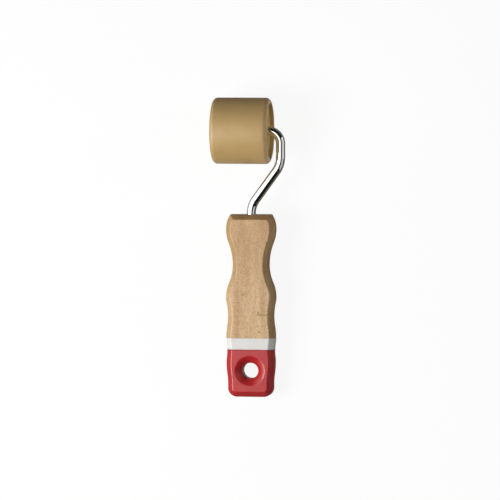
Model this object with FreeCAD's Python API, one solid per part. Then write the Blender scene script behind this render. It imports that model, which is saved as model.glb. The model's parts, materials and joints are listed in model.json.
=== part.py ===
import FreeCAD, Part
import math
import os

from FreeCAD import Placement, Rotation, Vector

# A small rubber brayer: a rubber-covered roller turning on a cranked wire frame with a flat wooden handle.
#
# The tool is first drawn flat. X runs along the roller's axle, Y from the handle's butt end towards
# the roller, and Z out of the handle's broad face. Y = 0 is the wood's butt end, X = 0 the middle of
# the handle and Z = 0 its mid-thickness. The finished pieces are then leaned so that the roller and
# the lower butt edge both touch the bench at Z = 0, and moved so that the origin is the middle of
# the footprint. Lengths are in millimetres and angles in degrees.

# Handle
handle_thickness = 16.0
edge_chamfer = 3.4
butt_corner_radius = 6.0
shoulder_length = 10.0
shoulder_radius = 18.3
# The handle's side, from the butt up, as waists and swells joined by pairs of tangent arcs:
# distance on from the one below, half width, and the part of that distance below the arcs' meeting point
side_stations = [
    (8.4, 15.4, 0.0),
    (15.4, 16.5, 0.47),
    (7.8, 16.0, 0.5),
    (10.0, 16.85, 0.5),
    (14.2, 15.65, 0.47),
    (12.8, 17.1, 0.75),
    (22.8, 12.35, 0.46),
    (25.0, 17.1, 0.61),
]

# Hanging hole through the butt, opened out at both faces by a rounded mouth. The tilts are the
# mouth's slope from the face, at its rim and where it runs into the hole
hanging_hole_radius = 5.45
hanging_hole_setback = 18.0
mouth_radius = 10.5
mouth_rim_tilt = 25.0
mouth_throat_tilt = 60.0

# Lacquer coats on the butt
coat_thickness = 0.2
red_coat_height = 32.8
white_coat_height = 7.9

# Wire frame: one rod bent three times in the plane of the handle
wire_radius = 3.175
tang_depth = 45.0
tang_hole_spare = 2.0
lower_bend_rise = 6.0
crank_rise = 28.4
axle_rise = 23.6
crank_offset = 20.5
lower_bend_radius = 16.5
middle_bend_radius = 17.0
upper_bend_radius = 8.7
tang_end_chamfer = 1.0

# Roller
roller_radius = 23.0
roller_width = 40.0
roller_to_crank_gap = 3.9
rim_radius = 3.3
sleeve_wall = 3.6
recess_depth = 3.1

# Bearings and retainers inside the roller
neck_radius = 2.5
bush_radius = 5.0
bush_length = 8.0
bush_pocket_depth = 2.5
bearing_clearance = 0.05
core_bore_clearance = 1.0
washer_thickness = 0.8
washer_clearance = 0.3
end_play = 0.15
cap_radius = 4.5
cap_height = 4.0
cap_crown = 1.0
cap_grip = 3.0
neck_end_chamfer = 0.5

# Sizes that follow
handle_length = sum(step for step, half, share in side_stations) + shoulder_length
crank_foot_y = handle_length + lower_bend_rise
crank_top_y = crank_foot_y + crank_rise
axle_y = crank_top_y + axle_rise
core_radius = roller_radius - sleeve_wall
core_half_width = roller_width / 2 - recess_depth
bush_face = core_half_width - bush_pocket_depth
washer_face = bush_face + end_play
shoulder_face = washer_face + washer_thickness
roller_x = crank_offset - wire_radius - roller_to_crank_gap - roller_width / 2
coat_chamfer = edge_chamfer + coat_thickness * (2 - math.sqrt(2))
rim_sine = math.sin(math.radians(mouth_rim_tilt))
throat_sine = math.sin(math.radians(mouth_throat_tilt))
mouth_arc_radius = (mouth_radius - hanging_hole_radius) / (throat_sine - rim_sine)

ALONG_AXLE = Vector(1, 0, 0)
OUT_OF_FACE = Vector(0, 0, 1)


def arc_between(low, high, radius, lower_arc, bulge):
    """Arc from low to high, upright at low if it is the lower arc of its pair, else upright at high."""
    turn = math.asin((high.y - low.y) / radius) / 2
    upright = low if lower_arc else high
    side = 1 if lower_arc else -1
    middle = Vector(upright.x + side * bulge * radius * (1 - math.cos(turn)),
                    upright.y + side * radius * math.sin(turn), 0)
    return Part.Arc(low, middle, high).toShape()


def side_edges(grow):
    """Right-hand side of the handle from the butt corner to the top, moved out by grow."""
    edges = []
    first_step, first_half, unused_share = side_stations[0]
    here = Vector(first_half + grow, first_step, 0)
    edges.append(Part.LineSegment(Vector(here.x, butt_corner_radius, 0), here).toShape())
    for step, half, share in side_stations[1:]:
        there = Vector(half + grow, here.y + step, 0)
        change = abs(there.x - here.x)
        bulge = 1 if there.x > here.x else -1
        radii = (step ** 2 + change ** 2) / (2 * change)
        meeting = here + (there - here) * share
        edges.append(arc_between(here, meeting, radii * share, True, bulge))
        edges.append(arc_between(meeting, there, radii * (1 - share), False, bulge))
        here = there
    radius = shoulder_radius + grow
    fall = radius - math.sqrt(radius ** 2 - shoulder_length ** 2)
    edges.append(arc_between(here, Vector(here.x - fall, handle_length, 0), radius, True, -1))
    return edges


def corner_edge(grow):
    """Rounded butt corner on the right-hand side."""
    centre_x = side_stations[0][1] - butt_corner_radius
    radius = butt_corner_radius + grow
    diagonal = radius * math.sqrt(0.5)
    return Part.Arc(Vector(centre_x, butt_corner_radius - radius, 0),
                    Vector(centre_x + diagonal, butt_corner_radius - diagonal, 0),
                    Vector(centre_x + radius, butt_corner_radius, 0)).toShape()


def handle_blank(grow, chamfer):
    """Chamfered bar of the handle's outline, larger all round by grow."""
    right = [corner_edge(grow)] + side_edges(grow)
    left = [edge.mirror(Vector(0, 0, 0), ALONG_AXLE) for edge in right]
    butt_x = side_stations[0][1] - butt_corner_radius
    top_x = right[-1].Vertexes[-1].Point.x
    butt = Part.LineSegment(Vector(-butt_x, -grow, 0), Vector(butt_x, -grow, 0)).toShape()
    top = Part.LineSegment(Vector(-top_x, handle_length, 0), Vector(top_x, handle_length, 0)).toShape()
    outline = Part.Wire(Part.sortEdges(right + left + [butt, top])[0])
    thickness = handle_thickness + 2 * grow
    bar = Part.Face(outline).extrude(OUT_OF_FACE * thickness)
    bar.translate(OUT_OF_FACE * (-thickness / 2))
    rims = [edge for edge in bar.Edges if edge.BoundBox.ZLength < thickness / 2]
    return bar.makeChamfer(chamfer, rims)


def hanging_hole(grow):
    """Hole with a rounded mouth at each face; the mouths are drawn in where a coat lines them."""
    half = handle_thickness / 2 + grow
    at = Vector(0, hanging_hole_setback, 0)
    bore = Part.makeCylinder(hanging_hole_radius, 2 * half, at - OUT_OF_FACE * half, OUT_OF_FACE)
    mouth = mouth_cutter(grow)
    mouth.translate(at)
    other_mouth = mouth.copy()
    other_mouth.rotate(at, ALONG_AXLE, 180)
    return bore.fuse([mouth, other_mouth])


def mouth_cutter(grow):
    """Round space inside the front mouth: its side is an arc about a ring within the wood."""
    half = handle_thickness / 2 + grow
    radius = mouth_arc_radius + grow
    centre_x = hanging_hole_radius + mouth_arc_radius * throat_sine
    centre_z = handle_thickness / 2 - mouth_arc_radius * math.sqrt(1 - rim_sine ** 2)
    rim = math.acos((half - centre_z) / radius)
    throat = math.asin((centre_x - hanging_hole_radius) / radius)
    on_arc = [Vector(centre_x - radius * math.sin(tilt), 0, centre_z + radius * math.cos(tilt))
              for tilt in (rim, (rim + throat) / 2, throat)]
    foot = Vector(0, 0, on_arc[2].z)
    top = Vector(0, 0, half)
    side = Part.Arc(*on_arc).toShape()
    outline = Part.Wire([side, Part.LineSegment(on_arc[2], foot).toShape(),
                         Part.LineSegment(foot, top).toShape(), Part.LineSegment(top, on_arc[0]).toShape()])
    return Part.Face(outline).revolve(Vector(0, 0, 0), OUT_OF_FACE, 360)


def beech_handle():
    tang_hole = Part.makeCylinder(wire_radius, tang_depth + tang_hole_spare,
                                  Vector(0, handle_length, 0), Vector(0, -1, 0))
    return handle_blank(0, edge_chamfer).cut([hanging_hole(0), tang_hole])


def coat(low, high):
    """Lacquer film on the handle from Y = low to Y = high, lining the mouths but not the hole."""
    outside = handle_blank(coat_thickness, coat_chamfer).cut(hanging_hole(coat_thickness))
    wood = handle_blank(0, edge_chamfer).cut(hanging_hole(0))
    reach = 2 * handle_length
    slab = Part.makeBox(reach, high - low, reach, Vector(-reach / 2, low, -reach / 2))
    return outside.common(slab).cut(wood)


def bent_rod(points, radii, radius):
    """Round rod along straight runs between the points, with a tangent bend at each inner point."""
    pieces = []
    start = points[0]
    for before, corner, after, bend in zip(points, points[1:], points[2:], radii):
        way_in = (corner - before).normalize()
        way_out = (after - corner).normalize()
        turn = way_in.getAngle(way_out)
        tangent = bend * math.tan(turn / 2)
        bend_start = corner - way_in * tangent
        axis = way_in.cross(way_out).normalize()
        centre = bend_start + axis.cross(way_in) * bend
        pieces.append(Part.makeCylinder(radius, (bend_start - start).Length, start, way_in))
        section = Part.Face(Part.Wire(Part.makeCircle(radius, bend_start, way_in)))
        pieces.append(section.revolve(centre, axis, math.degrees(turn)))
        start = corner + way_out * tangent
    last_way = (points[-1] - start).normalize()
    pieces.append(Part.makeCylinder(radius, (points[-1] - start).Length, start, last_way))
    return pieces[0].fuse(pieces[1:]).removeSplitter()


def chamfer_end(rod, leg, at, across):
    """Chamfer the rod's round end edge that lies in the plane through at, square to across."""
    rims = [edge for edge in rod.Edges
            if abs((edge.CenterOfMass - at).dot(across)) < leg / 10 and edge.CenterOfMass.isEqual(at, leg)]
    return rod.makeChamfer(leg, rims)


def frame_wire():
    tang_end = Vector(0, handle_length - tang_depth, 0)
    shoulder = Vector(roller_x + shoulder_face, axle_y, 0)
    rod = bent_rod([tang_end, Vector(0, crank_foot_y, 0), Vector(crank_offset, crank_top_y, 0),
                    Vector(crank_offset, axle_y, 0), shoulder],
                   [lower_bend_radius, middle_bend_radius, upper_bend_radius], wire_radius)
    neck_length = 2 * shoulder_face + cap_grip
    neck = Part.makeCylinder(neck_radius, neck_length, shoulder, -ALONG_AXLE)
    rod = chamfer_end(rod.fuse(neck), tang_end_chamfer, tang_end, Vector(0, 1, 0))
    return chamfer_end(rod, neck_end_chamfer, shoulder - ALONG_AXLE * neck_length, ALONG_AXLE)


def ring(outer, inner, start, end):
    """Ring on the roller's axle between two distances from the roller's middle."""
    at = Vector(roller_x + start, axle_y, 0)
    outside = Part.makeCylinder(outer, end - start, at, ALONG_AXLE)
    return outside.cut(Part.makeCylinder(inner, end - start, at, ALONG_AXLE))


def rubber_sleeve():
    half = roller_width / 2
    tube = ring(roller_radius, core_radius, -half, half)
    rims = [edge for edge in tube.Edges
            if edge.BoundBox.XLength < half and edge.BoundBox.YLength > 2 * core_radius + sleeve_wall]
    return tube.makeFillet(rim_radius, rims)


def roller_core():
    bush_inner_face = bush_face - bush_length
    body = ring(core_radius, neck_radius + core_bore_clearance, -core_half_width, core_half_width)
    pockets = [Part.makeCylinder(bush_radius, core_half_width - bush_inner_face,
                                 Vector(roller_x + side * bush_inner_face, axle_y, 0), ALONG_AXLE * side)
               for side in (-1, 1)]
    return body.cut(pockets)


def axle_bush(side):
    inner, outer = sorted((side * (bush_face - bush_length), side * bush_face))
    return ring(bush_radius, neck_radius + bearing_clearance, inner, outer)


def thrust_washer(side):
    inner, outer = sorted((side * washer_face, side * shoulder_face))
    return ring(bush_radius - washer_clearance, neck_radius + bearing_clearance, inner, outer)


def axle_cap():
    """Domed push-on cap that grips the neck's end and keeps the roller on."""
    at = Vector(roller_x - shoulder_face, axle_y, 0)
    dome = Part.makeCylinder(cap_radius, cap_height, at, -ALONG_AXLE)
    crown_x = at.x - cap_height
    rims = [edge for edge in dome.Edges
            if edge.BoundBox.XLength < cap_crown and abs(edge.CenterOfMass.x - crown_x) < cap_crown / 2]
    dome = dome.makeFillet(cap_crown, rims)
    return dome.cut(Part.makeCylinder(neck_radius, cap_grip, at, -ALONG_AXLE))


def bench_placement():
    """Lean that sets the roller and the lower butt edge on the bench, with the footprint centred."""
    edge_y = coat_chamfer - coat_thickness
    edge_z = handle_thickness / 2 + coat_thickness
    reach = axle_y - edge_y
    lean = math.asin(roller_radius / math.hypot(reach, edge_z)) - math.atan2(edge_z, reach)
    left = roller_x - roller_width / 2
    right = crank_offset + wire_radius
    butt = -coat_thickness * math.cos(lean) - (edge_z - coat_chamfer) * math.sin(lean)
    front = axle_y * math.cos(lean) + roller_radius
    shift = Vector(-(left + right) / 2, -(butt + front) / 2, roller_radius - axle_y * math.sin(lean))
    return Placement(shift, Rotation(ALONG_AXLE, math.degrees(lean)))


pieces = {
    "beech_handle": beech_handle(),
    "white_lacquer_band": coat(red_coat_height, red_coat_height + white_coat_height),
    "red_lacquer_dip": coat(-2 * coat_thickness, red_coat_height),
    "frame_wire": frame_wire(),
    "rubber_sleeve": rubber_sleeve(),
    "roller_core": roller_core(),
    "right_axle_bush": axle_bush(1),
    "left_axle_bush": axle_bush(-1),
    "shoulder_washer": thrust_washer(1),
    "cap_washer": thrust_washer(-1),
    "axle_cap": axle_cap(),
}

os.makedirs("parts", exist_ok=True)
on_bench = bench_placement()
for name, piece in pieces.items():
    piece.Placement = on_bench.multiply(piece.Placement)
    piece.exportStep("parts/" + name + ".step")
    print(name, piece.ShapeType, len(piece.Solids), "valid", piece.isValid(), "volume", round(piece.Volume, 1))

print("lean, degrees:", round(math.degrees(on_bench.Rotation.Angle), 4))
print("roller axis point:", on_bench.multVec(Vector(roller_x, axle_y, 0)))
print("hanging hole centre:", on_bench.multVec(Vector(0, hanging_hole_setback, 0)))
print("hanging hole axis:", on_bench.Rotation.multVec(OUT_OF_FACE))
print("handle length:", handle_length, "axle height on the flat tool:", axle_y)
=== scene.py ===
import json
import math

import bmesh
import bpy
import numpy as np
from bpy.props import FloatProperty, FloatVectorProperty, PointerProperty
from mathutils import Matrix, Vector


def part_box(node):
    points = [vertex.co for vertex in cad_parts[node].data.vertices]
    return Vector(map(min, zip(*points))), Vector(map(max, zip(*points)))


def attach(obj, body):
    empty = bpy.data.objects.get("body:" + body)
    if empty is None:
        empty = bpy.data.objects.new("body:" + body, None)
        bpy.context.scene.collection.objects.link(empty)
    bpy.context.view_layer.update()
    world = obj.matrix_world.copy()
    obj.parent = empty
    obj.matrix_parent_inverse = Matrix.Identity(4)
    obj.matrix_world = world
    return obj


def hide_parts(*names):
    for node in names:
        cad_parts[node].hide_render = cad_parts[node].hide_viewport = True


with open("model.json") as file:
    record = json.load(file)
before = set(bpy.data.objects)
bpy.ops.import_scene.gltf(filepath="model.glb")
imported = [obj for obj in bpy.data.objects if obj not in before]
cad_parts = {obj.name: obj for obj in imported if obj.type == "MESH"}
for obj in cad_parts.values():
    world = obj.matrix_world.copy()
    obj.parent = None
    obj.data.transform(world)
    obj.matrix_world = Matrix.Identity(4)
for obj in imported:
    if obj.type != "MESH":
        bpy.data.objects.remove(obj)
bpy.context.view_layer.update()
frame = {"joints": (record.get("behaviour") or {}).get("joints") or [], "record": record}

# A small rubber brayer lying on a bench: a tan rubber roller on a bright bent rod, with a flat beech
# handle dipped in white and red lacquer. Every shape is worked out on the tool drawn flat: x runs
# along the roller's axle, y from the butt towards the roller, and z out of the handle's broad face.
# on_bench() then leans it as the frame's hanging hole and axle say. Lengths are in metres.

bl_info = {
    "name": "Rubber brayer",
    "version": (1, 0, 0),
    "blender": (4, 5, 0),
    "location": "View3D > Sidebar > Brayer",
    "description": "Builds the finished pieces of a small rubber brayer on its measured frame",
    "category": "Add Mesh",
}

MM = 0.001

# ---------------------------------------------------------------- places taken from the frame

HOLE = frame["record"]["mounts"][0]
AXLE = frame["joints"][0]
HOLE_CENTRE = np.array(HOLE["pos_m"])
HOLE_RADIUS = HOLE["dims"]["r_mm"] * MM
AXLE_CENTRE = np.array(AXLE["pos_m"])
ALONG_AXLE = np.array(AXLE["axis"], float)
OUT_OF_FACE = np.array(HOLE["axis"])
ALONG_HANDLE = np.array([0.0, OUT_OF_FACE[2], -OUT_OF_FACE[1]])

# ---------------------------------------------------------------- sizes shared with the construction

HOLE_SETBACK = 18.0 * MM
MOUTH_RADIUS = 10.5 * MM
MOUTH_TILTS = np.radians([25.0, 60.0])
HANDLE_THICKNESS = 16.0 * MM
SHOULDER_LENGTH = 10.0 * MM
SHOULDER_RADIUS = 18.3 * MM
# Waists and swells of the handle's side, in millimetres: distance on from the one below, half width,
# and the part of that distance below the point where their two arcs meet
SIDE_STATIONS = np.array([
    (8.4, 15.4, 0.0),
    (15.4, 16.5, 0.47),
    (7.8, 16.0, 0.5),
    (10.0, 16.85, 0.5),
    (14.2, 15.65, 0.47),
    (12.8, 17.1, 0.75),
    (22.8, 12.35, 0.46),
    (25.0, 17.1, 0.61),
]) * [MM, MM, 1]
STATION_Y = np.cumsum(SIDE_STATIONS[:, 0])
STATION_HALF = SIDE_STATIONS[:, 1]
STATION_SHARE = SIDE_STATIONS[:, 2]
HANDLE_LENGTH = STATION_Y[-1] + SHOULDER_LENGTH

RED_TOP = 32.8 * MM
WHITE_TOP = 40.7 * MM
COAT_THICKNESS = 0.2 * MM
# The film's own wall as a share of that, so that its inside stays clear of the wood
FILM_SHARE = 0.9

AXLE_Y = HOLE_SETBACK + (AXLE_CENTRE - HOLE_CENTRE) @ ALONG_HANDLE
ROLLER_X = (AXLE_CENTRE - HOLE_CENTRE) @ ALONG_AXLE
CRANK_FOOT_Y = HANDLE_LENGTH + 6.0 * MM
CRANK_TOP_Y = CRANK_FOOT_Y + 28.4 * MM
CRANK_X = 20.5 * MM
BENDS = (16.5 * MM, 17.0 * MM, 8.7 * MM)
TANG_DEPTH = 45.0 * MM
TANG_CHAMFER = 1.0 * MM
SHOULDER_CHAMFER = 0.3 * MM
NECK_RADIUS = 2.5 * MM
NECK_CHAMFER = 0.5 * MM
BEARING_CLEARANCE = 0.05 * MM
CORE_BORE_CLEARANCE = 1.0 * MM
CAP_FLOOR = 1.0 * MM

# ---------------------------------------------------------------- how finely the surfaces are divided

FACE_COLUMNS = 25
SIDE_STEP = 0.7 * MM
EDGE_ARC_POINTS = 7
CORNER_POINTS = 13
SHOULDER_ROWS = 17
MOUTH_POINTS = 17
RING_ROWS = 5
BAND_ROWS = 11
# Reach of the ring-shaped patch round each mouth, as a share of the mouth's radius
RING_REACH = 1.13
# Angles round the upper lip of the white band, from nearly flat on the wood to the band's own side
BAND_LIP = np.radians([80, 60, 40, 20, 0])
# Points nearer than this are joined
WELD_GAP = 0.001 * MM
# Lengths below this count as none
NO_LENGTH = 1e-9

# ---------------------------------------------------------------- figure in the beech

# Layers from broad to fine. Growth bands are about 5 mm apart and drift over 60 mm of length. Real
# fibres are under 0.1 mm wide, and these are drawn 0.4 mm wide so that they show. The mottle stands
# for pores and rays too small to draw one by one, in patches of about 1 mm. Each row: size across
# and along the handle, detail, the noise where the layer starts and where it is full, its share
# there, and its colour
BEECH_LAYERS = {
    "bands": (5.0 * MM, 60.0 * MM, 3.0, 0.35, 0.68, 0.70, "dark_wood"),
    "fibres": (0.4 * MM, 7.0 * MM, 3.0, 0.42, 0.72, 0.28, "ray_fleck"),
    "mottle": (1.2 * MM, 1.0 * MM, 4.0, 0.40, 0.68, 0.42, "ray_fleck"),
}

# Small knots and streaks in the face: x, distance from the butt, half width, half height, in
# millimetres, and how far the colour changes
PIN_KNOTS = np.array([
    (-4.2, 79.5, 0.5, 0.5, 0.5),
    (-4.2, 71.4, 1.2, 0.9, 0.7),
    (9.5, 57.1, 3.3, 0.6, 0.8),
    (6.2, 58.2, 0.7, 0.7, 0.7),
    (7.0, 45.2, 0.9, 0.7, 0.7),
]) * [MM, MM, MM, MM, 1]

# Painted highlight on the rubber's rims: how far in from each end it starts and is full, and its share there
RIM_HIGHLIGHT_START = 0.7 * MM
RIM_HIGHLIGHT_FULL = 0.2 * MM
RIM_HIGHLIGHT_SHARE = 0.6

# ---------------------------------------------------------------- stage

WHITE = (1.0, 1.0, 1.0, 1.0)
ONE_FACE = [(0, 1, 2, 3)]
FLOOR_HALF = 3.0
FLOOR_Z = -0.2 * MM
# Share of pure white laid over the floor that the camera sees
FLOOR_VEIL = 0.92
# Where the camera looks, on the tool drawn flat
VIEW_CENTRE = np.array([-0.9, 101.65, 0.0]) * MM

# Square lamps: place, the spot each faces, side, spread in degrees, and whether mirrors see it. The
# recess lamp is a narrow one into the open end of the roller, which the key lamp can't reach
LAMPS = {
    "key": ((-0.60, -0.17, 0.68), (0.0, 0.0, 0.02), 0.5, 180, True),
    "fill": ((0.84, -0.20, 0.12), (0.0, 0.0, 0.02), 0.3, 180, False),
    "recess": ((0.30, 0.15, 0.16), (0.012, 0.084, 0.012), 0.08, 24, False),
}

SKY_ROWS, SKY_COLUMNS = 13, 19
# Cards that only mirrors see, which give the chrome and the lacquer something to reflect. On a sphere
# over the tool: colour, strength, bearings from the axle's direction, angles down from overhead, both
# in degrees, and distance
SKY_CARDS = {
    "softbox_above": ("#ffffff", 1.8, (95, 250), (0, 70), 1.5),
    "softbox_edge": ("#ffffff", 1.3, (-110, 95), (0, 24), 1.5),
    "black_low_right": ("#191919", 1.0, (-90, -43), (11, 92), 1.4),
    "black_low": ("#191919", 1.0, (-130, -90), (26, 92), 1.4),
    "black_overhead_right": ("#191919", 1.0, (-43, 50), (12, 52), 1.4),
    "black_far": ("#191919", 1.0, (26, 130), (16, 92), 1.4),
}
# Standing across the axle's direction: colour, x, and the reach in y and in z
UPRIGHT_CARDS = {
    "black_beside_handle": ("#191919", 0.35, (-0.40, 0.02), (0.001, 0.35)),
    "grey_beside_crank": ("#cecece", 0.22, (-0.085, 0.13), (0.055, 0.25)),
}
# Lying on the bench: colour, the reach in x and in y, and z
BENCH_CARDS = {
    # Painted shade: the bench under the tool, as dark as its shadow, for mirrors to reflect
    "dull_bench": ("#695f52", (-0.30, 0.30), (-0.40, 0.40), 0.1 * MM),
    # Painted reflection: a pale patch of lit bench for mirrors to reflect
    "pale_bench": ("#b3b3b3", (-0.07, -0.008), (0.024, 0.057), 0.2 * MM),
}


# ---------------------------------------------------------------- settings a user would change

def length(name, description, default):
    """Length setting, with its default in millimetres."""
    return FloatProperty(name=name, description=description, default=default * MM,
                         min=0.0, unit="LENGTH", precision=5)


def colour(name, description, code):
    """Colour setting, with its default as an sRGB hex code."""
    return FloatVectorProperty(name=name, description=description, default=linear(code),
                               subtype="COLOR", size=4, min=0.0, max=1.0)


def lean(name, description, default):
    """Angle setting, with its default in degrees."""
    return FloatProperty(name=name, description=description, default=math.radians(default),
                         subtype="ANGLE")


def brightness(name, description, default):
    """Setting for how strong a light is."""
    return FloatProperty(name=name, description=description, default=default, min=0.0)


def linear(code):
    """Linear RGBA of an sRGB hex colour."""
    parts = [int(code[at:at + 2], 16) / 255 for at in (1, 3, 5)]
    return tuple(p / 12.92 if p <= 0.04045 else ((p + 0.055) / 1.055) ** 2.4 for p in parts) + (1.0,)


class BrayerHandleSettings(bpy.types.PropertyGroup):
    edge_chamfer: length("Edge chamfer", "Leg of the 45 degree chamfer round both faces", 3.4)
    edge_rounding: length("Edge rounding", "Radius that sanding leaves on the chamfer's edges", 0.9)
    butt_corner: length("Butt corner", "Radius of the butt's corners, seen from the face", 6.0)
    light_wood: colour("Light beech", "Early wood between the growth bands", "#e2c399")
    dark_wood: colour("Dark beech", "Late wood of the growth bands", "#b48b5d")
    ray_fleck: colour("Ray fleck", "Short brown flecks of beech's rays", "#966a40")
    pin_knot: colour("Pin knots", "Olive brown of the small knots and mineral streaks", "#9a8434")
    # Painted shade: the share of the colour kept on the chamfers and sides, darker than on the broad faces
    chamfer_painted_shade: colour("Chamfer stain", "Share of the colour kept on the chamfers and sides", "#eeede0")
    end_grain: colour("End grain", "Share of the colour kept where the fibres are cut across", "#c8c4b4")


class BrayerCoatSettings(bpy.types.PropertyGroup):
    white: colour("White lacquer", "Colour of the band", "#dedcd8")
    red: colour("Red lacquer", "Colour of the dipped butt", "#b5282a")


class BrayerWireSettings(bpy.types.PropertyGroup):
    rod_radius: length("Rod radius", "Half the thickness of the frame rod", 3.175)
    chrome: colour("Chrome", "Tint of the bright plating", "#efeff0")
    zinc: colour("Zinc plate", "Tint of the washers and the cap", "#b4b5b6")


class BrayerRollerSettings(bpy.types.PropertyGroup):
    rim_radius: length("Rim radius", "Rounding of the rubber's outer rims", 3.3)
    rubber: colour("Rubber", "Tan gum-coloured rubber", "#b99961")
    # Pale colour painted near both ends of the rubber as a highlight on its rims
    painted_rim_highlight: colour("Talc", "Talc left on the rubber's trimmed ends", "#cfc3b0")
    # Painted light: lighter than the core's own tan, to brighten the roller's shaded recess
    core: colour("Core", "Tan moulded core", "#c8a967")
    acetal: colour("Acetal", "Natural acetal of the bushes", "#d9d5c8")


class BrayerStageSettings(bpy.types.PropertyGroup):
    camera_distance: FloatProperty(name="Camera distance", description="From the lens to the tool",
                                   default=4.0, min=0.3, unit="LENGTH")
    view_width: FloatProperty(name="View width", description="Width of the view at the tool",
                              default=0.347, min=0.1, unit="LENGTH")
    camera_swing: lean("Camera swing", "Lean of the view towards the crank", 8.2)
    camera_nod: lean("Camera nod", "Lean of the view towards the roller", 3.2)
    key_power: brightness("Key lamp", "Power of the soft main light, in watts", 9.7)
    fill_power: brightness("Fill lamp", "Power of the low light on the crank's side, in watts", 1.6)
    recess_power: brightness("Recess lamp", "Power of the narrow light into the roller, in watts", 0.0084)
    surround: brightness("Surround", "Strength of the light from all round", 0.07)


# ---------------------------------------------------------------- mesh helpers

def on_bench(points):
    """Hole centre, plus x along the axle, plus y past the hole along the handle, plus z out of its face."""
    return (HOLE_CENTRE + points[..., :1] * ALONG_AXLE
            + (points[..., 1:2] - HOLE_SETBACK) * ALONG_HANDLE + points[..., 2:3] * OUT_OF_FACE)


def grid_quads(rows, columns, closed):
    """Corner numbers of a grid's quads, with its points numbered row by row.

    Closed joins the last column to the first.
    """
    row, column = np.meshgrid(np.arange(rows - 1), np.arange(columns - (not closed)), indexing="ij")
    beside = (column + 1) % columns
    corners = (row * columns + column, row * columns + beside,
               (row + 1) * columns + beside, (row + 1) * columns + column)
    return np.stack(corners, axis=-1).reshape(-1, 4)


def make_piece(name, patches, body, node):
    """One welded mesh from patches, each a grid of points and whether its rows close on themselves.

    A quad faces along its column direction crossed with its row direction: seen from outside, where
    the columns of a patch run to the right its rows run up.
    """
    points = np.concatenate([on_bench(grid).reshape(-1, 3) for grid, closed in patches])
    starts = np.cumsum([0] + [grid.shape[0] * grid.shape[1] for grid, closed in patches[:-1]])
    quads = np.concatenate([grid_quads(grid.shape[0], grid.shape[1], closed) + start
                            for (grid, closed), start in zip(patches, starts)])
    mesh = bpy.data.meshes.new(name)
    mesh.from_pydata(points.tolist(), [], quads.tolist())
    weld(mesh)
    mesh.shade_smooth()
    piece = bpy.data.objects.new(name, mesh)
    bpy.context.scene.collection.objects.link(piece)
    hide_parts(node)
    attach(piece, body)
    return piece


def weld(mesh):
    """Joins points that are nearly at one place, and drops the empty faces that leaves."""
    work = bmesh.new()
    work.from_mesh(mesh)
    bmesh.ops.remove_doubles(work, verts=work.verts, dist=WELD_GAP)
    bmesh.ops.dissolve_degenerate(work, edges=work.edges, dist=WELD_GAP / 2)
    work.to_mesh(mesh)
    work.free()


def quarter_turn(way):
    """The same vector turned a quarter anticlockwise."""
    return np.array([-way[1], way[0]])


def rounded(corners, radii, steps=6):
    """Outline with each inner corner swapped for an arc.

    An arc's tangent length is its radius times the tangent of half the turn. Where the arcs at the
    two ends of a side need more than its length, both are made smaller by the same share.
    """
    corners = np.asarray(corners, float)
    sides = np.diff(corners, axis=0)
    lengths = np.linalg.norm(sides, axis=1)
    ways = sides / lengths[:, None]
    turns = np.arctan2(ways[:-1, 0] * ways[1:, 1] - ways[:-1, 1] * ways[1:, 0],
                       np.sum(ways[:-1] * ways[1:], axis=1))
    tangents = np.asarray(radii) * np.abs(np.tan(turns / 2))
    needed = np.append(tangents, 0) + np.append(0, tangents)
    share = np.minimum(1, lengths / np.maximum(needed, NO_LENGTH))
    tangents = tangents * np.minimum(share[:-1], share[1:])
    out = [corners[:1]]
    for corner, way, turn, tangent in zip(corners[1:-1], ways, turns, tangents):
        if tangent < NO_LENGTH:
            out.append(corner[None])
            continue
        spoke = -tangent / math.tan(turn / 2) * quarter_turn(way)
        angle = np.linspace(0, turn, steps + 1)[:, None]
        centre = corner - way * tangent - spoke
        out.append(centre + np.cos(angle) * spoke + np.sin(angle) * quarter_turn(spoke))
    out.append(corners[-1:])
    return np.concatenate(out)


def turned(profile, around=192):
    """Profile of (x from the roller's middle, radius) carried round the axle.

    At angle a the point is (x, axle y + radius times cos a, radius times sin a). The profile runs
    towards the crank along the outside, so that the faces point outwards.
    """
    angle = np.linspace(0, 2 * np.pi, around, endpoint=False)
    x, radius = profile[:, :1], profile[:, 1:2]
    grid = np.stack(np.broadcast_arrays(ROLLER_X + x, AXLE_Y + radius * np.cos(angle),
                                        radius * np.sin(angle)), axis=-1)
    return grid, True


# ---------------------------------------------------------------- handle

def half_width(y, inset):
    """Half width of the handle at distance y from the butt, for the side moved in by inset.

    The side is straight up to the first station, and then pairs of arcs that meet on their chord. The
    lower arc of a pair is centred level with the lower station and the upper one level with the upper
    station. Above the last station it is one arc of the shoulder's radius. Moving the side in keeps
    each centre and changes each radius by the inset.
    """
    y, inset = np.broadcast_arrays(np.asarray(y, float), np.asarray(inset, float))
    x = STATION_HALF[0] - inset
    for high in range(1, len(STATION_Y)):
        low = high - 1
        span = STATION_Y[high] - STATION_Y[low]
        change = STATION_HALF[high] - STATION_HALF[low]
        out = np.sign(change)
        radii = (span ** 2 + change ** 2) / (2 * abs(change))
        lower, upper = radii * STATION_SHARE[high], radii * (1 - STATION_SHARE[high])
        meeting = STATION_Y[low] + (lower + out * inset) * span / radii
        lower_x = (STATION_HALF[low] + out * lower
                   - out * np.sqrt(np.maximum((lower + out * inset) ** 2 - (y - STATION_Y[low]) ** 2, 0)))
        upper_x = (STATION_HALF[high] - out * upper
                   + out * np.sqrt(np.maximum((upper - out * inset) ** 2 - (STATION_Y[high] - y) ** 2, 0)))
        x = np.where(y > STATION_Y[low], np.where(y < meeting, lower_x, upper_x), x)
    shoulder_x = (STATION_HALF[-1] - SHOULDER_RADIUS
                  + np.sqrt(np.maximum((SHOULDER_RADIUS - inset) ** 2 - (y - STATION_Y[-1]) ** 2, 0)))
    return np.where(y > STATION_Y[-1], shoulder_x, x)


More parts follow.
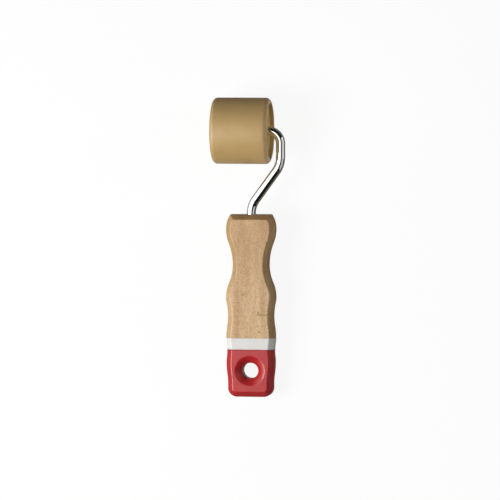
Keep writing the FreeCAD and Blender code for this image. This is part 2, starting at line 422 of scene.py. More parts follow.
def edge_profile(chamfer, rounding):
    """Section of the handle's edge from the back face round to the front face.

    Gives each point's inset from the side, its z, and the outward direction there as (outwards, up),
    which a coat is laid along. The corners of wall, chamfer and face are arcs of the rounding.
    """
    half = HANDLE_THICKNESS / 2
    tangent = rounding * math.tan(math.pi / 8)
    turns = np.linspace(0, np.pi / 4, EDGE_ARC_POINTS)
    wall_ways = np.stack([np.cos(turns), np.sin(turns)], axis=1)
    face_ways = wall_ways[::-1, ::-1]
    wall_arc = [rounding, half - chamfer - tangent] + rounding * wall_ways * [-1, 1]
    face_arc = [chamfer + tangent, half - rounding] + rounding * face_ways * [-1, 1]
    points = np.concatenate([[[0.0, 0.0]], wall_arc, face_arc])
    ways = np.concatenate([[[1.0, 0.0]], wall_ways, face_ways])
    back = points[:0:-1] * [1, -1]
    back_ways = ways[:0:-1] * [1, -1]
    return np.concatenate([back, points]), np.concatenate([back_ways, ways])


def side_path(settings, profile, ways, coat, top):
    """Right-hand rim from the butt line's end up to the top, as (profile point, step) grids of x and y.

    Round the butt corner both follow the corner's angle, with the radius less the inset. Above it each
    step keeps its y, and x is the half width there. With no top given, the last stretch of each profile
    point ends at the mitre, the handle's length less its inset.
    """
    inset = (profile[:, 0] - coat * ways[:, 0])[:, None]
    corner = settings.butt_corner
    angle = np.linspace(-np.pi / 2, 0, CORNER_POINTS)
    corner_x = STATION_HALF[0] - corner + (corner - inset) * np.cos(angle)
    corner_y = corner + (corner - inset) * np.sin(angle)
    end = STATION_Y[-1] if top is None else top
    side_y = np.linspace(corner, end, int(round((end - corner) / SIDE_STEP)))[1:]
    side_y = np.broadcast_to(side_y, (len(profile), len(side_y)))
    parts_x = [corner_x, half_width(side_y, inset)]
    parts_y = [corner_y, side_y]
    if top is None:
        share = np.linspace(0, 1, SHOULDER_ROWS + 1)[1:]
        shoulder_y = STATION_Y[-1] + share * (HANDLE_LENGTH - inset - STATION_Y[-1])
        parts_x.append(half_width(shoulder_y, inset))
        parts_y.append(shoulder_y)
    return np.concatenate(parts_x, axis=1), np.concatenate(parts_y, axis=1)


def across(edge_x, y, z):
    """Rows from side to side: x runs from minus to plus the edge's x, at that y and z."""
    share = np.linspace(-1, 1, FACE_COLUMNS)
    return np.stack(np.broadcast_arrays(edge_x[..., None] * share, y[..., None], z), axis=-1)


def face_with_hole(edge_x, edge_y, z, side):
    """Flat face as rows across, with a ring-shaped patch left for the hole's mouth.

    Returns the plain rows below and above, and the ring's outer loop, anticlockwise from its lower left
    corner as seen from the front. side is 1 for the front face and -1 for the back one.
    """
    reach = MOUTH_RADIUS * RING_REACH
    low = int(np.searchsorted(edge_y, HOLE_SETBACK - reach))
    high = int(np.searchsorted(edge_y, HOLE_SETBACK + reach))
    rows = across(edge_x, edge_y, z)
    plain = [rows[:low + 1], rows[high:]]
    loop = np.concatenate([rows[low, :-1], rows[low:high, -1], rows[high, :0:-1], rows[high:low:-1, 0]])
    patches = [(part[:, ::side], False) for part in plain if len(part) > 1]
    return patches, loop


def hole_rings(loop, outline):
    """Grid from the loop on the face in to the hole's outline of (radius, z), each spoke at its angle."""
    angle = np.arctan2(loop[:, 1] - HOLE_SETBACK, loop[:, 0])
    spokes = np.stack([np.cos(angle), np.sin(angle)], axis=1)
    radius, z = outline[:, :1, None], outline[:, 1:, None]
    rings = np.concatenate([radius * spokes + [0, HOLE_SETBACK],
                            np.broadcast_to(z, (len(outline), len(loop), 1))], axis=2)
    share = np.linspace(0, 1, RING_ROWS + 1)[:-1][:, None, None]
    flat = loop * (1 - share) + rings[0] * share
    return np.concatenate([flat, rings])


def bar_patches(settings, coat, top):
    """Rim, front and back rows, and the two loops left round the hole."""
    profile, ways = edge_profile(settings.edge_chamfer, settings.edge_rounding)
    x, y = side_path(settings, profile, ways, coat, top)
    z = (profile[:, 1] + coat * ways[:, 1])[:, None]
    right = np.stack(np.broadcast_arrays(x, y, z), axis=-1)
    left = right[:, ::-1] * [-1, 1, 1]
    butt = across(x[:, 0], y[:, 0], z)
    parts = [left, butt[:, 1:-1], right]
    if top is None:
        top_rows = across(x[:, -1], y[:, -1], z)
        parts.append(top_rows[:, ::-1][:, 1:-1])
    patches = [(np.concatenate(parts, axis=1), top is None)]
    half = HANDLE_THICKNESS / 2 + coat
    front, front_loop = face_with_hole(x[-1], y[-1], half, 1)
    back, back_loop = face_with_hole(x[-1], y[-1], -half, -1)
    return patches + front + back, front_loop, back_loop


def mouth_outline(coat):
    """Rounded mouth of the hole, as (radius, z) from just outside its rim down to the throat.

    The side is an arc whose slope grows from the rim's tilt to the throat's. A coat keeps the arc's
    centre and adds its thickness to the arc's radius.
    """
    rim_sine, throat_sine = np.sin(MOUTH_TILTS)
    arc = (MOUTH_RADIUS - HOLE_RADIUS) / (throat_sine - rim_sine)
    centre = np.array([HOLE_RADIUS + arc * throat_sine,
                       HANDLE_THICKNESS / 2 - arc * math.sqrt(1 - rim_sine ** 2)])
    half = HANDLE_THICKNESS / 2 + coat
    rim = math.acos((half - centre[1]) / (arc + coat))
    throat = math.asin((centre[0] - HOLE_RADIUS) / (arc + coat))
    tilt = np.linspace(rim, throat, MOUTH_POINTS)
    side = centre + (arc + coat) * np.stack([-np.sin(tilt), np.cos(tilt)], axis=1)
    outside = 0.4 * MM
    return np.concatenate([[(side[0, 0] + outside, half)], side])


def wood_surface(settings):
    """The bare bar: rim and faces joined by one grid that runs through the hole from face to face."""
    patches, front_loop, back_loop = bar_patches(settings, 0.0, None)
    mouth = mouth_outline(0.0)
    front = hole_rings(front_loop, np.concatenate([mouth, mouth[::-1] * [1, -1]]))
    back = hole_rings(back_loop, mouth[:1] * [1, -1])[:-1][::-1]
    return patches + [(np.concatenate([front, back]), True)]


def line_the_hole(mesh):
    """Gives the hole's wall the second material, where the first white dip ran in."""
    centres = np.empty(len(mesh.polygons) * 3)
    mesh.polygons.foreach_get("center", centres)
    offset = centres.reshape(-1, 3) - HOLE_CENTRE
    radius = np.hypot(offset @ ALONG_AXLE, offset @ ALONG_HANDLE)
    mesh.polygons.foreach_set("material_index", (radius < MOUTH_RADIUS).astype(np.int32))


def red_surface(settings):
    """The dip's outside: the bar laid out by the coat, with both mouths lined down to the wood's throat."""
    patches, front_loop, back_loop = bar_patches(settings, COAT_THICKNESS, RED_TOP)
    outline = np.concatenate([mouth_outline(COAT_THICKNESS), mouth_outline(0.0)[-1:]])
    front = hole_rings(front_loop, outline)
    back = hole_rings(back_loop, outline * [1, -1])[::-1]
    return patches + [(front, True), (back, True)]


def white_surface(settings):
    """The band's outside: rings round the bar at each height, running down.

    Its upper lip is an arc of the coat's thickness that draws in to the wood.
    """
    profile, ways = edge_profile(settings.edge_chamfer, settings.edge_rounding)
    below = np.linspace(WHITE_TOP - COAT_THICKNESS, RED_TOP, BAND_ROWS + 1)[1:]
    y = np.concatenate([WHITE_TOP - COAT_THICKNESS * (1 - np.sin(BAND_LIP)), below])
    coat = COAT_THICKNESS * np.concatenate([np.cos(BAND_LIP), np.ones(BAND_ROWS)])[:, None]
    inset = profile[:, 0] - coat * ways[:, 0]
    x = half_width(y[:, None], inset)
    z = profile[:, 1] + coat * ways[:, 1]
    right = np.stack(np.broadcast_arrays(x, y[:, None], z), axis=-1)
    left = right[:, ::-1] * [-1, 1, 1]
    face = across(x[:, -1], y, z[:, -1:])[:, ::-1][:, 1:-1]
    back = face[:, ::-1] * [1, 1, -1]
    return [(np.concatenate([right, face, left, back], axis=1), True)]


def add_wall(piece, thickness):
    """Gives an open skin its thickness, inwards."""
    wall = piece.modifiers.new("Film", "SOLIDIFY")
    wall.thickness = thickness
    wall.offset = -1


# ---------------------------------------------------------------- wire

def bent_path(corners, bends):
    """Centre line through the corners with tangent arcs: points, and the way it runs at each.

    A bend has a point about every degree. At angle a round it the point is the bend's centre plus its
    first spoke turned by a, and the way is the way in turned by a.
    """
    corners = np.array(corners)
    points, ways = [], []
    for before, corner, after, bend in zip(corners, corners[1:], corners[2:], bends):
        way_in = (corner - before) / np.linalg.norm(corner - before)
        way_out = (after - corner) / np.linalg.norm(after - corner)
        turn = math.atan2(way_in[0] * way_out[1] - way_in[1] * way_out[0], way_in @ way_out)
        start = corner - way_in * bend * abs(math.tan(turn / 2))
        spoke = -math.copysign(bend, turn) * quarter_turn(way_in)
        angle = np.linspace(0, turn, int(abs(math.degrees(turn))) + 2)[:, None]
        points.append(start - spoke + np.cos(angle) * spoke + np.sin(angle) * quarter_turn(spoke))
        ways.append(np.cos(angle) * way_in + np.sin(angle) * quarter_turn(way_in))
    points = np.concatenate([corners[:1], *points, corners[-1:]])
    ways = np.concatenate([ways[0][:1], *ways, ways[-1][-1:]])
    return points, ways


def rod_surface(points, ways, radius, around=72):
    """Circle carried along a flat path.

    At angle a it is the path's point plus the radius times (cos a sideways plus sin a out of the plane).
    """
    angle = np.linspace(0, 2 * np.pi, around, endpoint=False)
    sideways = np.stack([-ways[:, 1], ways[:, 0]], axis=1)
    swing = radius[:, None] * np.cos(angle)
    lift = radius[:, None] * np.sin(angle)
    flat = points[:, None] + swing[..., None] * sideways[:, None]
    return np.concatenate([flat, lift[..., None]], axis=2), True


def wire_surface(settings):
    """Tang end, three bends, shoulder and neck as one rod; radius and place change together at its steps."""
    radius = settings.rod_radius
    shoulder, neck_end = NODE_X["shoulder_washer"][1], NODE_X["axle_cap"][0] + CAP_FLOOR
    corners = [(0, HANDLE_LENGTH - TANG_DEPTH), (0, CRANK_FOOT_Y), (CRANK_X, CRANK_TOP_Y),
               (CRANK_X, AXLE_Y), (ROLLER_X + shoulder, AXLE_Y)]
    points, ways = bent_path(corners, BENDS)
    start = [points[0], points[0], points[0] + ways[0] * TANG_CHAMFER]
    start_radii = [0.0, radius - TANG_CHAMFER, radius]
    end_x = [shoulder + SHOULDER_CHAMFER, shoulder, shoulder, neck_end + NECK_CHAMFER, neck_end, neck_end]
    end = [(ROLLER_X + x, AXLE_Y) for x in end_x]
    end_radii = [radius, radius - SHOULDER_CHAMFER, NECK_RADIUS, NECK_RADIUS, NECK_RADIUS - NECK_CHAMFER, 0.0]
    bare_rod = np.full(len(points) - 2, radius)
    points = np.concatenate([start, points[1:-1], end])
    ways = np.concatenate([[ways[0]] * len(start), ways[1:-1], [ways[-1]] * len(end)])
    return [rod_surface(points, ways, np.concatenate([start_radii, bare_rod, end_radii]))]


# ---------------------------------------------------------------- roller and bearings

def node_sizes(name):
    """From a turned node's box: its two ends from the roller's middle, and its radius."""
    low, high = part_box(name)
    return (low.x - AXLE_CENTRE[0], high.x - AXLE_CENTRE[0]), (high.y - low.y) / 2


TURNED_NODES = ("rubber_sleeve", "roller_core", "right_axle_bush", "left_axle_bush",
                "shoulder_washer", "cap_washer", "axle_cap")
NODE_X = {name: node_sizes(name)[0] for name in TURNED_NODES}
NODE_RADIUS = {name: node_sizes(name)[1] for name in TURNED_NODES}


def ring_surface(name, inner, softness):
    """Square ring with softened corners, closed round its section."""
    (left, right), outer = NODE_X[name], NODE_RADIUS[name]
    middle = (left + right) / 2
    corners = [(middle, inner), (left, inner), (left, outer), (right, outer), (right, inner),
               (middle, inner)]
    return [turned(rounded(corners, [softness] * 4))]


def sleeve_surface(settings):
    """Rubber tube: generous outer rims, and a small soft lip where the recess begins."""
    (left, right), outer = NODE_X["rubber_sleeve"], NODE_RADIUS["rubber_sleeve"]
    inner = NODE_RADIUS["roller_core"]
    corners = [(0, inner), (left, inner), (left, outer), (right, outer), (right, inner), (0, inner)]
    rim, lip = settings.rim_radius, 0.25 * MM
    return [turned(rounded(corners, [lip, rim, rim, lip], steps=10), around=256)]


def core_surface():
    """Core with its two bush pockets and a clear bore between them."""
    (left, right), outer = NODE_X["roller_core"], NODE_RADIUS["roller_core"]
    pocket = NODE_RADIUS["right_axle_bush"]
    seat = NODE_X["right_axle_bush"][0]
    bore = NECK_RADIUS + CORE_BORE_CLEARANCE
    corners = [(0, bore), (-seat, bore), (-seat, pocket), (left, pocket), (left, outer), (right, outer),
               (right, pocket), (seat, pocket), (seat, bore), (0, bore)]
    soft = 0.3 * MM
    return [turned(rounded(corners, [0, 0, soft, soft, soft, soft, 0, 0], steps=4))]


def cap_surface():
    """Domed cap with a blind hole: the crown is one large arc between the side and the end."""
    (left, right), outer = NODE_X["axle_cap"], NODE_RADIUS["axle_cap"]
    blind = left + CAP_FLOOR
    crown, lip = 1.0 * MM, 0.15 * MM
    corners = [(left, 0), (left, outer), (right, outer), (right, NECK_RADIUS), (blind, NECK_RADIUS),
               (blind, 0)]
    return [turned(rounded(corners, [crown, lip, lip, 0]))]


# ---------------------------------------------------------------- materials

def add(tree, kind, inputs, **settings):
    """Adds a node with its settings; an input is linked if it is given a socket, else set."""
    made = tree.nodes.new(kind)
    for key, value in settings.items():
        setattr(made, key, value)
    for key, value in inputs.items():
        if isinstance(value, bpy.types.NodeSocket):
            tree.links.new(value, made.inputs[key])
        else:
            made.inputs[key].default_value = value
    return made


# Sockets of a Mix node, by number because those for colours and for vectors share their names
FACTOR = 0
COLOUR_A, COLOUR_B, COLOUR_OUT = 6, 7, 2
VECTOR_A, VECTOR_B, VECTOR_OUT = 4, 5, 1


def new_material(name):
    """Empty node material."""
    material = bpy.data.materials.new(name)
    material.use_nodes = True
    material.node_tree.nodes.clear()
    return material, material.node_tree


def darker(tint, share):
    """The tint with its light cut to a share."""
    return tuple(part * share for part in tint[:3]) + (1.0,)


def lay_over(tree, below, above, value, reach, shares, blend_type="MIX"):
    """One colour laid over another, its share going from shares[0] to shares[1] as the value goes from
    reach[0] to reach[1]."""
    share = add(tree, "ShaderNodeMapRange", {"Value": value, "From Min": reach[0], "From Max": reach[1],
                                             "To Min": shares[0], "To Max": shares[1]})
    tone = add(tree, "ShaderNodeMix", {FACTOR: share.outputs[0], COLOUR_A: below, COLOUR_B: above},
               data_type="RGBA", blend_type=blend_type)
    return tone.outputs[COLOUR_OUT]


def finish_surface(tree, grain, strength, depth, inputs):
    """Ends a material: a bump from its grain, the shader with its other inputs, and the output."""
    bump = add(tree, "ShaderNodeBump", {"Height": grain, "Strength": strength, "Distance": depth})
    shader = add(tree, "ShaderNodeBsdfPrincipled", inputs | {"Normal": bump.outputs[0]})
    add(tree, "ShaderNodeOutputMaterial", {0: shader.outputs[0]})


def beech_sanded(settings):
    """Steamed beech, sanded and sealed matt: pale tan, with soft growth bands and fine straight fibres
    along the handle, short brown ray flecks, and a soft sheen. The sawn end soaks up more of the seal and
    is browner. Painted shade darkens the chamfers and sides, and the face towards the roller."""
    material, tree = new_material("beech_sanded_matt_seal")
    place = add(tree, "ShaderNodeTexCoord", {})
    spot = place.outputs["Object"]
    # Distance along the handle, for painted shade: the face is darkened towards the roller, where less of the
    # light falls
    along = add(tree, "ShaderNodeVectorMath", {0: spot, 1: tuple(ALONG_HANDLE)}, operation="DOT_PRODUCT")
    tone = lay_over(tree, settings.light_wood[:], settings.dark_wood[:], along.outputs["Value"],
                    reach=(-35 * MM, 5 * MM), shares=(0, 0.42))
    noises = {}
    for layer, (wide, long, detail, start, full, share, tint) in BEECH_LAYERS.items():
        stretched = add(tree, "ShaderNodeMapping", {"Vector": spot, "Scale": (1 / wide, 1 / long, 1 / wide)})
        noises[layer] = add(tree, "ShaderNodeTexNoise", {"Vector": stretched.outputs[0], "Scale": 1.0,
                                                         "Detail": detail})
        tone = lay_over(tree, tone, getattr(settings, tint)[:], noises[layer].outputs[0],
                        reach=(start, full), shares=(0, share))
    # Ray flecks 0.3 mm wide and about 1.5 mm long, one in each cell of 1.1 by 3.6 mm
    cells = add(tree, "ShaderNodeMapping", {"Vector": spot, "Scale": (1 / (1.1 * MM), 1 / (3.6 * MM),
                                                                      1 / (1.1 * MM))})
    flecks = add(tree, "ShaderNodeTexVoronoi", {"Vector": cells.outputs[0], "Scale": 1.0})
    tone = lay_over(tree, tone, settings.ray_fleck[:], flecks.outputs["Distance"],
                    reach=(0.12, 0.3), shares=(0.42, 0))
    # Pin knots, each the place where x and the distance along the handle, less the knot's own and
    # divided by its half lengths, make a vector shorter than one. The mottle makes its edge ragged
    parts = add(tree, "ShaderNodeSeparateXYZ", {0: spot})
    flat = add(tree, "ShaderNodeCombineXYZ", {0: parts.outputs[0], 1: along.outputs["Value"]})
    butt_along = float(HOLE_CENTRE @ ALONG_HANDLE) - HOLE_SETBACK
    for x, y, half_x, half_y, depth in PIN_KNOTS:
        shift = (-(HOLE_CENTRE[0] + x) / half_x, -(butt_along + y) / half_y, 0)
        from_knot = add(tree, "ShaderNodeMapping", {"Vector": flat.outputs[0], "Location": shift,
                                                    "Scale": (1 / half_x, 1 / half_y, 1)})
        ragged = add(tree, "ShaderNodeMix", {FACTOR: 0.35, VECTOR_A: from_knot.outputs[0],
                                             VECTOR_B: noises["mottle"].outputs["Color"]},
                     data_type="VECTOR")
        size = add(tree, "ShaderNodeVectorMath", {0: ragged.outputs[VECTOR_OUT]}, operation="LENGTH")
        tone = lay_over(tree, tone, settings.pin_knot[:], size.outputs["Value"],
                        reach=(0.4, 1.05), shares=(depth, 0))
    # Painted shade on the chamfers and sides, by how far the surface turns from the broad faces, and seal
    #     soaked up by the sawn end, by how far it turns along the handle
    shade_and_stains = ((OUT_OF_FACE, 0.97, 0.8, settings.chamfer_painted_shade), (ALONG_HANDLE, 0.4, 0.8, settings.end_grain))
    for toward, start, full, shade_and_stain in shade_and_stains:
        facing = add(tree, "ShaderNodeVectorMath", {0: place.outputs["Normal"], 1: tuple(toward)},
                     operation="DOT_PRODUCT")
        either_way = add(tree, "ShaderNodeMath", {0: facing.outputs["Value"]}, operation="ABSOLUTE")
        tone = lay_over(tree, tone, shade_and_stain[:], either_way.outputs[0], reach=(start, full), shares=(0, 1),
                        blend_type="MULTIPLY")
    fibres = noises["fibres"].outputs[0]
    rough = add(tree, "ShaderNodeMapRange", {"Value": fibres, "From Min": 0.3, "From Max": 0.7,
                                             "To Min": 0.3, "To Max": 0.42})
    finish_surface(tree, fibres, strength=0.2, depth=0.05 * MM,
                   inputs={"Base Color": tone, "Roughness": rough.outputs[0], "Specular IOR Level": 0.35})
    return material


def lacquer(name, tint, roughness, deep):
    """Dipped nitrocellulose lacquer: a smooth, glossy, opaque film, with a slow ripple where it ran off
    and slightly deeper tone where it lies thicker."""
    material, tree = new_material(name)
    spot = add(tree, "ShaderNodeTexCoord", {}).outputs["Object"]
    # Runs about 6 mm apart
    runs = add(tree, "ShaderNodeTexNoise", {"Vector": spot, "Scale": 1 / (6 * MM), "Detail": 2.0})
    tone = lay_over(tree, tint, darker(tint, 0.82), runs.outputs[0], reach=(0.35, 0.65), shares=(0, deep))
    # Orange peel about 0.9 mm across
    peel = add(tree, "ShaderNodeTexNoise", {"Vector": spot, "Scale": 1 / (0.9 * MM), "Detail": 1.0})
    finish_surface(tree, peel.outputs[0], strength=0.06, depth=0.05 * MM,
                   inputs={"Base Color": tone, "Roughness": roughness})
    return material


def bright_metal(name, tint, roughness, line_size):
    """Plated steel: a near mirror in polished chrome and a duller grey in zinc, with faint waviness left
    by drawing the rod or pressing the part."""
    material, tree = new_material(name)
    spot = add(tree, "ShaderNodeTexCoord", {}).outputs["Object"]
    lines = add(tree, "ShaderNodeTexNoise", {"Vector": spot, "Scale": 1 / line_size, "Detail": 2.0})
    rough = add(tree, "ShaderNodeMapRange", {"Value": lines.outputs[0], "From Min": 0.35, "From Max": 0.7,
                                             "To Min": roughness, "To Max": roughness * 1.6})
    finish_surface(tree, lines.outputs[0], strength=0.03, depth=0.02 * MM,
                   inputs={"Base Color": tint, "Metallic": 1.0, "Roughness": rough.outputs[0]})
    return material


def paint_rim_highlight(tree, spot, tone, painted_rim_highlight):
    """Mixes a painted highlight into the tone near the roller's two ends, by the distance along the axle from
    its middle.
    """
    end = NODE_X["rubber_sleeve"][1]
    along = add(tree, "ShaderNodeVectorMath", {0: spot, 1: tuple(ALONG_AXLE)}, operation="DOT_PRODUCT")
    aside = add(tree, "ShaderNodeMath", {0: along.outputs["Value"], 1: float(AXLE_CENTRE @ ALONG_AXLE)},
                operation="SUBTRACT")
    from_middle = add(tree, "ShaderNodeMath", {0: aside.outputs[0]}, operation="ABSOLUTE")
    return lay_over(tree, tone, painted_rim_highlight, from_middle.outputs[0], reach=(end - RIM_HIGHLIGHT_START, end - RIM_HIGHLIGHT_FULL),
                    shares=(0, RIM_HIGHLIGHT_SHARE))


def moulded(name, tint, roughness, cloud, grit, bloom=0.0, painted_rim_highlight=None):
    """Moulded rubber or plastic: satin, slightly cloudy, with the fine grit of the mould's wall. Bloom is
    the dusty film that wax leaves on rubber, which pales it where it is seen edge on. The last colour,
    if given, is painted near the roller's two ends as a highlight on its rims."""
    material, tree = new_material(name)
    spot = add(tree, "ShaderNodeTexCoord", {}).outputs["Object"]
    # Clouds about 9 mm across
    clouds = add(tree, "ShaderNodeTexNoise", {"Vector": spot, "Scale": 1 / (9 * MM), "Detail": 3.0})
    tone = lay_over(tree, tint, darker(tint, 0.8), clouds.outputs[0], reach=(0.3, 0.7), shares=(0, cloud))
    # Painted highlight near the roller's two ends
    if painted_rim_highlight:
        tone = paint_rim_highlight(tree, spot, tone, painted_rim_highlight)
    grits = add(tree, "ShaderNodeTexNoise", {"Vector": spot, "Scale": 1 / grit, "Detail": 2.0})
    rough = add(tree, "ShaderNodeMapRange", {"Value": grits.outputs[0], "From Min": 0.3, "From Max": 0.7,
                                             "To Min": roughness, "To Max": roughness + 0.1})
    finish_surface(tree, grits.outputs[0], strength=0.12, depth=0.05 * MM,
                   inputs={"Base Color": tone, "Roughness": rough.outputs[0],
                           "Sheen Weight": bloom, "Sheen Roughness": 0.3})
    return material


def dress(piece, *materials):
    """Gives a piece its materials, in the order of its faces' numbers."""
    for material in materials:
        piece.data.materials.append(material)


# ---------------------------------------------------------------- operators

class BRAYER_OT_handle(bpy.types.Operator):
    """Make the beech handle"""
    bl_idname = "brayer.handle"
    bl_label = "Handle"

    def execute(self, context):
        settings = context.scene.brayer_handle
        white = context.scene.brayer_coats.white[:]
        piece = make_piece("handle_wood", wood_surface(settings), "hand_frame", "beech_handle")
        dress(piece, beech_sanded(settings),
              lacquer("white_lacquer_in_hole", white, roughness=0.4, deep=0.3))
        line_the_hole(piece.data)
        return {"FINISHED"}


class BRAYER_OT_coats(bpy.types.Operator):
    """Make the white band and the red dip"""
    bl_idname = "brayer.coats"
    bl_label = "Lacquer coats"

    def execute(self, context):
        settings = context.scene.brayer_handle
        coats = context.scene.brayer_coats
        band = make_piece("white_band", white_surface(settings), "hand_frame", "white_lacquer_band")
        dress(band, lacquer("white_nitro_lacquer", coats.white[:], roughness=0.35, deep=0.15))
        dip = make_piece("red_dip", red_surface(settings), "hand_frame", "red_lacquer_dip")
        dress(dip, lacquer("red_nitro_lacquer", coats.red[:], roughness=0.27, deep=0.4))
        for film in (band, dip):
            add_wall(film, COAT_THICKNESS * FILM_SHARE)
        return {"FINISHED"}


class BRAYER_OT_wire(bpy.types.Operator):
    """Make the bent frame wire"""
    bl_idname = "brayer.wire"
    bl_label = "Frame wire"

    def execute(self, context):
        settings = context.scene.brayer_wire
        piece = make_piece("bent_wire", wire_surface(settings), "hand_frame", "frame_wire")
        dress(piece, bright_metal("bright_chrome_on_drawn_rod", settings.chrome[:], roughness=0.04,
                                  line_size=1.5 * MM))
        return {"FINISHED"}


class BRAYER_OT_roller(bpy.types.Operator):
    """Make the rubber sleeve and its core"""
    bl_idname = "brayer.roller"
    bl_label = "Roller"

    def execute(self, context):
        settings = context.scene.brayer_roller
        sleeve = make_piece("roller_rubber", sleeve_surface(settings), "roller", "rubber_sleeve")
        dress(sleeve, moulded("tan_rubber_moulded_satin", settings.rubber[:], roughness=0.42, cloud=0.35,
                              grit=0.5 * MM, bloom=0.12, painted_rim_highlight=settings.painted_rim_highlight[:]))
        core = make_piece("roller_hub", core_surface(), "roller", "roller_core")
        dress(core, moulded("tan_core_moulded_satin", settings.core[:], roughness=0.5, cloud=0.4,
                            grit=0.6 * MM))
        return {"FINISHED"}


class BRAYER_OT_bearings(bpy.types.Operator):
    """Make the bushes, thrust washers and end cap"""
    bl_idname = "brayer.bearings"
    bl_label = "Bushes, washers and cap"

    def execute(self, context):
        plating = bright_metal("zinc_plated_steel", context.scene.brayer_wire.zinc[:], roughness=0.28,
                               line_size=0.8 * MM)
        acetal = moulded("natural_acetal_turned", context.scene.brayer_roller.acetal[:], roughness=0.38,
                         cloud=0.1, grit=0.4 * MM)
        bore = NECK_RADIUS + BEARING_CLEARANCE
        for node in ("right_axle_bush", "left_axle_bush"):
            bush = ring_surface(node, bore, softness=0.25 * MM)
            dress(make_piece(node + "_turned", bush, "roller", node), acetal)
        for node in ("shoulder_washer", "cap_washer"):
            washer = ring_surface(node, bore, softness=0.15 * MM)
            dress(make_piece(node + "_pressed", washer, "hand_frame", node), plating)
        cap = make_piece("push_on_cap", cap_surface(), "hand_frame", "axle_cap")
        dress(cap, plating)
        return {"FINISHED"}


# ---------------------------------------------------------------- stage

def white_to_camera(tree, lit, white):
    """Mixes white into a surface or background for the camera and for mirror and glass rays."""
    path = add(tree, "ShaderNodeLightPath", {})
    seen = path.outputs["Is Camera Ray"]
    for ray in ("Is Glossy Ray", "Is Transmission Ray"):
        seen = add(tree, "ShaderNodeMath", {0: seen, 1: path.outputs[ray]}, operation="MAXIMUM").outputs[0]
    return add(tree, "ShaderNodeMixShader", {0: seen, 1: lit, 2: white}).outputs[0]


def make_world(settings):
    """Plain white background, with a faint even light from all round."""
    world = bpy.data.worlds.new("studio")
    bpy.context.scene.world = world
    world.use_nodes = True
    tree = world.node_tree
    tree.nodes.clear()
    lit = add(tree, "ShaderNodeBackground", {"Color": WHITE, "Strength": settings.surround}).outputs[0]
    white = add(tree, "ShaderNodeBackground", {"Color": WHITE, "Strength": 1.0}).outputs[0]
    add(tree, "ShaderNodeOutputWorld", {0: white_to_camera(tree, lit, white)})


def floor_material():
    """Matt white card: full white to the camera, with a share of its lit surface so that the shadow shows."""
    material, tree = new_material("white_card_floor")
    seen = add(tree, "ShaderNodeBsdfDiffuse", {"Color": linear("#f6f6f6")}).outputs[0]
    lit = add(tree, "ShaderNodeBsdfDiffuse", {"Color": linear("#b3b3b3")}).outputs[0]
    white = add(tree, "ShaderNodeEmission", {"Color": WHITE, "Strength": 1.0}).outputs[0]
    veiled = add(tree, "ShaderNodeMixShader", {0: FLOOR_VEIL, 1: seen, 2: white}).outputs[0]
    add(tree, "ShaderNodeOutputMaterial", {0: white_to_camera(tree, lit, veiled)})
    return material


def card(name, points, faces, material):
    """Thin card from its points and faces."""
    mesh = bpy.data.meshes.new(name)
    mesh.from_pydata(points, [], faces)
    flat = bpy.data.objects.new(name, mesh)
    bpy.context.scene.collection.objects.link(flat)
    dress(flat, material)
    return flat


def glow_card(name, code, strength, points, faces):
    """Card of even brightness that is seen in reflections alone: it lights nothing and shades nothing."""
    material, tree = new_material(name + "_card")
    glow = add(tree, "ShaderNodeEmission", {"Color": linear(code), "Strength": strength})
    add(tree, "ShaderNodeOutputMaterial", {0: glow.outputs[0]})
    flat = card(name, points, faces, material)
    flat.visible_camera = False
    flat.visible_diffuse = False
    flat.visible_shadow = False
    flat.visible_transmission = False


def sky_card(name, code, strength, bearings, drops, distance):
    """Part of a sphere over the tool between two bearings from the axle's direction and two angles
    down from overhead, in degrees. At bearing b and angle d the point is (cos b sin d, sin b sin d,
    cos d) times the distance."""
    bearing, drop = np.meshgrid(np.radians(np.linspace(*bearings, SKY_COLUMNS)),
                                np.radians(np.linspace(*drops, SKY_ROWS)))
    points = distance * np.stack([np.cos(bearing) * np.sin(drop), np.sin(bearing) * np.sin(drop),
                                  np.cos(drop)], axis=-1)
    faces = grid_quads(SKY_ROWS, SKY_COLUMNS, False).tolist()
    glow_card(name, code, strength, points.reshape(-1, 3).tolist(), faces)


def upright(x, y, z):
    """Corners of an upright rectangle at x, from y[0] to y[1] and from z[0] to z[1]."""
    return [(x, y[0], z[0]), (x, y[1], z[0]), (x, y[1], z[1]), (x, y[0], z[1])]


def level(x, y, z):
    """Corners of a level rectangle at z, from x[0] to x[1] and from y[0] to y[1]."""
    return [(x[0], y[0], z), (x[1], y[0], z), (x[1], y[1], z), (x[0], y[1], z)]


def lamp(name, place, target, side, spread, mirrored, power):
    """Square area light at place, turned to face target, with its spread in degrees."""
    light = bpy.data.lights.new(name, "AREA")
    light.size = side
    light.spread = math.radians(spread)
    light.energy = power
    holder = bpy.data.objects.new(name, light)
    bpy.context.scene.collection.objects.link(holder)
    holder.location = place
    holder.rotation_mode = "QUATERNION"
    holder.rotation_quaternion = (Vector(target) - Vector(place)).to_track_quat("-Z", "Y")
    holder.visible_glossy = mirrored


def make_camera(settings):
    """Camera over the tool with the handle upright in the view.

    It looks back along the face's own direction leant by the swing towards the crank and by the nod
    towards the roller.
    """
    swing, nod = settings.camera_swing, settings.camera_nod
    back = (math.sin(swing) * math.cos(nod) * ALONG_AXLE + math.sin(nod) * ALONG_HANDLE
            + math.cos(swing) * math.cos(nod) * OUT_OF_FACE)
    right = np.cross(ALONG_HANDLE, back)
    right = right / np.linalg.norm(right)
    up = np.cross(back, right)
    place = on_bench(VIEW_CENTRE) + back * settings.camera_distance
    camera = bpy.data.objects.new("camera", bpy.data.cameras.new("camera"))
    bpy.context.scene.collection.objects.link(camera)
    turn = Matrix((right, up, back)).transposed().to_4x4()
    camera.matrix_world = Matrix.Translation(Vector(place)) @ turn
    camera.data.lens = camera.data.sensor_width * settings.camera_distance / settings.view_width
    bpy.context.scene.camera = camera


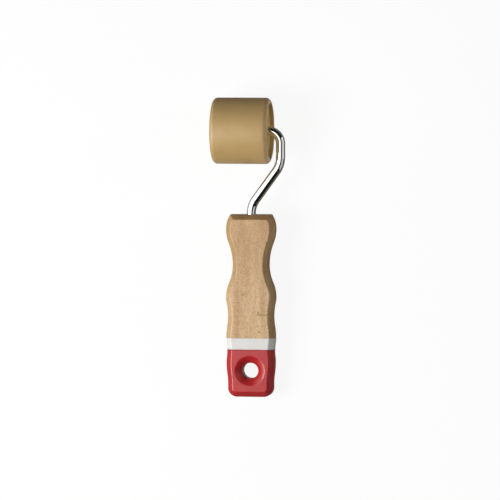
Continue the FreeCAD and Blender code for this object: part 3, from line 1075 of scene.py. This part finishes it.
class BRAYER_OT_stage(bpy.types.Operator):
    """Make the floor, the lights, the background and the camera"""
    bl_idname = "brayer.stage"
    bl_label = "Stage"

    def execute(self, context):
        settings = context.scene.brayer_stage
        make_world(settings)
        reach = (-FLOOR_HALF, FLOOR_HALF)
        card("floor", level(reach, reach, FLOOR_Z), ONE_FACE, floor_material())
        for name, (place, target, side, spread, mirrored) in LAMPS.items():
            lamp(name, place, target, side, spread, mirrored, getattr(settings, name + "_power"))
        for name, (code, strength, bearings, drops, distance) in SKY_CARDS.items():
            sky_card(name, code, strength, bearings, drops, distance)
        for name, (code, x, y, z) in UPRIGHT_CARDS.items():
            glow_card(name, code, 1.0, upright(x, y, z), ONE_FACE)
        for name, (code, x, y, z) in BENCH_CARDS.items():
            glow_card(name, code, 1.0, level(x, y, z), ONE_FACE)
        make_camera(settings)
        context.scene.view_settings.view_transform = "Standard"
        return {"FINISHED"}


class BRAYER_PT_panel(bpy.types.Panel):
    """Lists the brayer's pieces and their settings"""
    bl_label = "Rubber brayer"
    bl_idname = "BRAYER_PT_panel"
    bl_space_type = "VIEW_3D"
    bl_region_type = "UI"
    bl_category = "Brayer"

    def draw(self, context):
        for operator in OPERATORS:
            self.layout.operator(operator.bl_idname)
        for group in SETTINGS:
            settings = getattr(context.scene, group)
            for key in settings.__annotations__:
                self.layout.prop(settings, key)


SETTINGS = {
    "brayer_handle": BrayerHandleSettings,
    "brayer_coats": BrayerCoatSettings,
    "brayer_wire": BrayerWireSettings,
    "brayer_roller": BrayerRollerSettings,
    "brayer_stage": BrayerStageSettings,
}
OPERATORS = (BRAYER_OT_handle, BRAYER_OT_coats, BRAYER_OT_wire, BRAYER_OT_roller, BRAYER_OT_bearings,
             BRAYER_OT_stage)


def register():
    for name, group in SETTINGS.items():
        bpy.utils.register_class(group)
        setattr(bpy.types.Scene, name, PointerProperty(type=group))
    for operator in OPERATORS:
        bpy.utils.register_class(operator)
    bpy.utils.register_class(BRAYER_PT_panel)


def unregister():
    bpy.utils.unregister_class(BRAYER_PT_panel)
    for operator in reversed(OPERATORS):
        bpy.utils.unregister_class(operator)
    for name, group in SETTINGS.items():
        delattr(bpy.types.Scene, name)
        bpy.utils.unregister_class(group)


def main():
    """Registers the classes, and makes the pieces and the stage."""
    register()
    bpy.ops.brayer.handle()
    bpy.ops.brayer.coats()
    bpy.ops.brayer.wire()
    bpy.ops.brayer.roller()
    bpy.ops.brayer.bearings()
    bpy.ops.brayer.stage()


if __name__ == "__main__":
    main()
